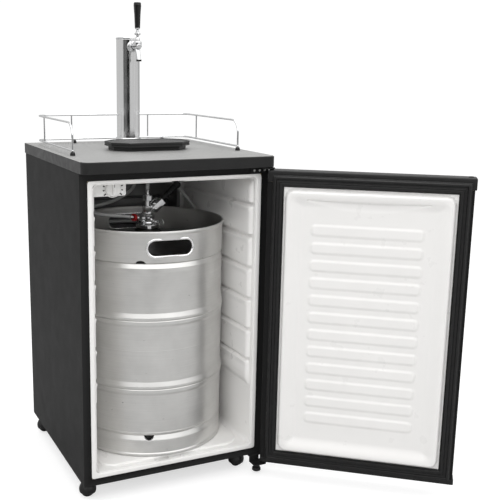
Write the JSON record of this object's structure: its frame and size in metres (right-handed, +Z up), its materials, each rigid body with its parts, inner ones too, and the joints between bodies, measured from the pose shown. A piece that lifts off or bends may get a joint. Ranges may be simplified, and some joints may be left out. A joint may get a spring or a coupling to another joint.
{
  "type": "kegerator",
  "caption": "Kegerator: insulated cabinet on casters with an open hinged door, a keg with its coupler inside, and a draft tower, guard rail and drip tray on top.",
  "frame": {"origin": "centre of the whole object's bounding box in plan, open door included, on the floor", "axes": "+Z up, +Y towards the back of the cabinet, +X to the right as seen from the front"},
  "size_m": [0.8966, 0.8994, 1.244],
  "materials": {
    "black_steel": "matte",
    "black_plastic": "satin",
    "black_gloss": "gloss",
    "grey_worktop": "satin",
    "white_liner": "satin",
    "white_plastic": "satin",
    "foam": "matte",
    "rubber": "matte",
    "chrome": "polished",
    "brushed_tower": "satin",
    "keg_steel": "satin",
    "aluminium": "satin",
    "zinc": "satin",
    "red_plastic": "satin",
    "clear_hose": "satin",
    "grey_hose": "satin"
  },
  "bodies": {
    "cabinet": {"cabinet_shell": "black_steel", "front_frame": "black_steel", "base_plate": "black_steel", "back_panel": "black_steel", "compressor": "black_steel", "condenser_coil": "black_steel", "top_hinge_bracket": "black_steel", "bottom_hinge_bracket": "black_steel", "insulation_foam": "foam", "inner_liner": "white_liner", "evaporator_plate": "aluminium", "worktop": "grey_worktop", "worktop_front_trim": "black_plastic", "thermostat_housing": "white_plastic", "gas_bulkhead": "zinc", "mains_inlet": "rubber", "levelling_foot": "black_plastic", "guard_rail": "chrome", "tower_column": "brushed_tower", "tower_flange": "brushed_tower", "tower_cap": "brushed_tower", "shank": "chrome", "faucet_collar": "chrome", "faucet_body": "chrome", "keg_shell": "keg_steel", "keg_spear": "keg_steel", "coupler_body": "chrome", "gas_inlet": "chrome", "gas_clamp": "red_plastic", "beer_line": "clear_hose", "gas_line": "grey_hose", "rail_foot_1": "rubber", "rail_foot_2": "rubber", "rail_foot_3": "rubber", "rail_foot_4": "rubber"},
    "door": {"door_skin": "black_steel", "door_foam": "foam", "door_liner": "white_liner", "door_gasket": "rubber", "door_cap_top": "black_plastic", "door_cap_bottom": "black_plastic", "hinge_hole_plug": "black_plastic"},
    "tap_lever": {"faucet_lever": "chrome", "tap_handle": "black_gloss"},
    "tap_plunger": {"faucet_plunger": "chrome"},
    "coupler_lever": {"coupler_handle": "chrome", "coupler_grip": "black_plastic"},
    "probe": {"coupler_probe": "chrome"},
    "relief_valve": {"relief_pin": "chrome"},
    "thermostat_dial": {"thermostat_knob": "white_plastic"},
    "tray": {"drip_tray": "black_plastic"},
    "tray_grid": {"drip_grid": "black_plastic"},
    "fork_front_left": {"caster_fork_front_left": "black_plastic"},
    "wheel_front_left": {"caster_wheel_front_left": "rubber"},
    "fork_front_right": {"caster_fork_front_right": "black_plastic"},
    "wheel_front_right": {"caster_wheel_front_right": "rubber"},
    "fork_back_left": {"caster_fork_back_left": "black_plastic"},
    "wheel_back_left": {"caster_wheel_back_left": "rubber"},
    "fork_back_right": {"caster_fork_back_right": "black_plastic"},
    "wheel_back_right": {"caster_wheel_back_right": "rubber"}
  },
  "joints": [
    {"name": "door_hinge", "type": "hinge", "parent": "cabinet", "child": "door", "pos_m": [0.04766, -0.12832, 0.43], "axis": [0, 0, 1], "range_deg": [-141, 4]},
    {"name": "tap_tilt", "type": "hinge", "parent": "cabinet", "child": "tap_lever", "pos_m": [-0.18434, 0.20568, 1.147], "axis": [1, 0, 0], "range_deg": [0, 25]},
    {"name": "plunger_slide", "type": "slide", "parent": "cabinet", "child": "tap_plunger", "axis": [0, 1, 0], "range_m": [0, 0.006]},
    {"name": "coupler_lever_pivot", "type": "hinge", "parent": "cabinet", "child": "coupler_lever", "pos_m": [-0.17734, 0.11068, 0.706], "axis": [0, 1, 0], "range_deg": [0, 60]},
    {"name": "probe_slide", "type": "slide", "parent": "cabinet", "child": "probe", "axis": [0, 0, -1], "range_m": [0, 0.0105]},
    {"name": "relief_pull", "type": "slide", "parent": "cabinet", "child": "relief_valve", "axis": [0.435, -0.9004, 0], "range_m": [0, 0.003], "stiffness_N_per_m": 300},
    {"name": "dial_turn", "type": "hinge", "parent": "cabinet", "child": "thermostat_dial", "pos_m": [-0.34434, -0.04932, 0.787], "axis": [0, -1, 0], "range_deg": [-150, 150]},
    {"name": "tray_slide", "type": "slide", "parent": "cabinet", "child": "tray", "axis": [0, -1, 0], "range_m": [0, 0.06]},
    {"name": "grid_lift", "type": "slide", "parent": "tray", "child": "tray_grid", "axis": [0, 0, 1], "range_m": [0, 0.03]},
    {"name": "swivel_front_left", "type": "hinge", "parent": "cabinet", "child": "fork_front_left", "pos_m": [-0.40934, -0.05932, 0.04], "axis": [0, 0, 1], "continuous": true},
    {"name": "roll_front_left", "type": "hinge", "parent": "fork_front_left", "child": "wheel_front_left", "pos_m": [-0.42434, -0.05932, 0.018], "axis": [0, 1, 0], "continuous": true},
    {"name": "swivel_front_right", "type": "hinge", "parent": "cabinet", "child": "fork_front_right", "pos_m": [0.01666, -0.05932, 0.04], "axis": [0, 0, 1], "continuous": true},
    {"name": "roll_front_right", "type": "hinge", "parent": "fork_front_right", "child": "wheel_front_right", "pos_m": [0.00166, -0.05932, 0.018], "axis": [0, 1, 0], "continuous": true},
    {"name": "swivel_back_left", "type": "hinge", "parent": "cabinet", "child": "fork_back_left", "pos_m": [-0.40934, 0.37068, 0.04], "axis": [0, 0, 1], "continuous": true},
    {"name": "roll_back_left", "type": "hinge", "parent": "fork_back_left", "child": "wheel_back_left", "pos_m": [-0.42434, 0.37068, 0.018], "axis": [0, 1, 0], "continuous": true},
    {"name": "swivel_back_right", "type": "hinge", "parent": "cabinet", "child": "fork_back_right", "pos_m": [0.01666, 0.37068, 0.04], "axis": [0, 0, 1], "continuous": true},
    {"name": "roll_back_right", "type": "hinge", "parent": "fork_back_right", "child": "wheel_back_right", "pos_m": [0.00166, 0.37068, 0.018], "axis": [0, 1, 0], "continuous": true}
  ],
  "couplings": [
    {"joint": "plunger_slide", "follows": "tap_tilt", "m_per_rad": 0.012},
    {"joint": "probe_slide", "follows": "coupler_lever_pivot", "m_per_rad": 0.0096}
  ]
}
